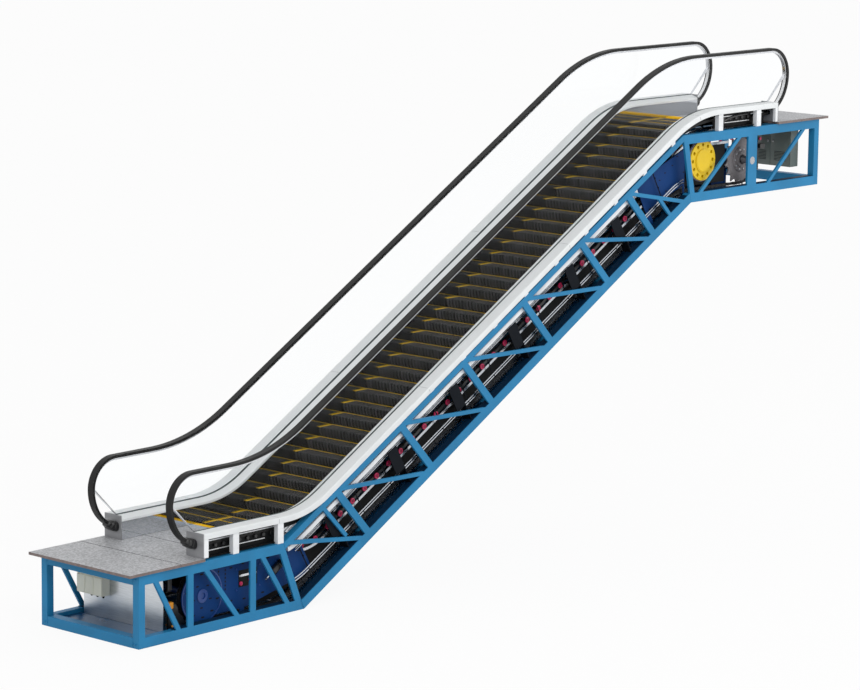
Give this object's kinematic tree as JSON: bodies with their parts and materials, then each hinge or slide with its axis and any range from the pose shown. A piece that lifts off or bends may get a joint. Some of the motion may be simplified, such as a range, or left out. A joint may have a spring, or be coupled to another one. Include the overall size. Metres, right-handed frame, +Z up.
{
  "type": "escalator",
  "caption": "Single-flight escalator in an open lattice truss, with glass balustrades, ribbed steps, combs and its drive and turn machinery in view at both ends.",
  "frame": {"origin": "middle of the underside of the lower end beam, the face that rests on the lower landing's support", "axes": "+X level, from the lower landing to the upper one; +Y across, to the left hand of a rider going up; +Z up"},
  "size_m": [11.9947, 1.56, 5.596],
  "materials": {
    "truss_paint": "satin light blue paint",
    "tray_paint": "satin navy paint",
    "floor_plate": "fine grey non-slip sheet",
    "comb_metal": "dull grey-blue comb plate",
    "step_dark": "dark grey cast steps",
    "chain_black": "oiled black chain",
    "roller_magenta": "magenta plastic rollers",
    "glass_clear": "clear tempered glass",
    "handrail_rubber": "black rubber",
    "rail_steel": "bright drawn metal",
    "deck_light": "pale anodised cover",
    "skirt_steel": "polished sheet that reflects the steps",
    "cap_dark": "black sheet",
    "post_white": "white paint",
    "track_steel": "bright rolled rail",
    "machine_blue": "royal blue paint",
    "machine_steel": "dark machined steel",
    "shaft_steel": "turned steel",
    "wheel_yellow": "yellow paint",
    "cabinet_grey": "grey-green paint",
    "box_cream": "cream paint",
    "partition_steel": "brushed sheet"
  },
  "bodies": {
    "escalator": {"truss_lower_near": "truss_paint", "truss_lower_far": "truss_paint", "truss_incline_near": "truss_paint", "truss_incline_far": "truss_paint", "truss_upper_near": "truss_paint", "truss_upper_far": "truss_paint", "end_beams": "truss_paint", "cross_members": "truss_paint", "floor_beams": "truss_paint", "lower_tray": "tray_paint", "incline_tray": "tray_paint", "upper_tray": "tray_paint", "track_brackets": "tray_paint", "lower_floor_plates": "floor_plate", "upper_floor_plates": "floor_plate", "comb_plates": "comb_metal", "steps": "step_dark", "step_chain_near": "chain_black", "step_chain_far": "chain_black", "step_rollers": "roller_magenta", "glass_near": "glass_clear", "glass_far": "glass_clear", "handrail_near": "handrail_rubber", "handrail_far": "handrail_rubber", "handrail_guide_near": "rail_steel", "handrail_guide_far": "rail_steel", "glass_clamps": "rail_steel", "newel_caps": "deck_light", "outer_deck_near": "deck_light", "outer_deck_far": "deck_light", "inner_deck_near": "deck_light", "inner_deck_far": "deck_light", "skirt_near": "skirt_steel", "skirt_far": "skirt_steel", "chain_sheets": "cap_dark", "deck_posts": "post_white", "deck_brackets": "post_white", "main_tracks": "track_steel", "return_tracks": "track_steel", "turn_discs": "machine_blue", "carriage_plates": "machine_blue", "drive_plates": "machine_blue", "machine_bed": "machine_blue", "gearbox": "machine_blue", "motor": "machine_blue", "handrail_bearings": "machine_blue", "drive_sprocket_near": "machine_steel", "drive_sprocket_far": "machine_steel", "main_shaft": "shaft_steel", "turn_shaft": "shaft_steel", "controller_cabinet": "cabinet_grey", "control_box": "box_cream", "partition": "partition_steel"},
    "handrail_drive": {"handrail_drive_shaft": "shaft_steel", "handrail_wheel_near": "wheel_yellow", "handrail_wheel_far": "wheel_yellow"}
  },
  "joints": [
    {"name": "handrail_drive_turn", "type": "hinge", "parent": "escalator", "child": "handrail_drive", "pos_m": [9.39974, 0, 4.318], "axis": [0, 1, 0], "continuous": true}
  ]
}
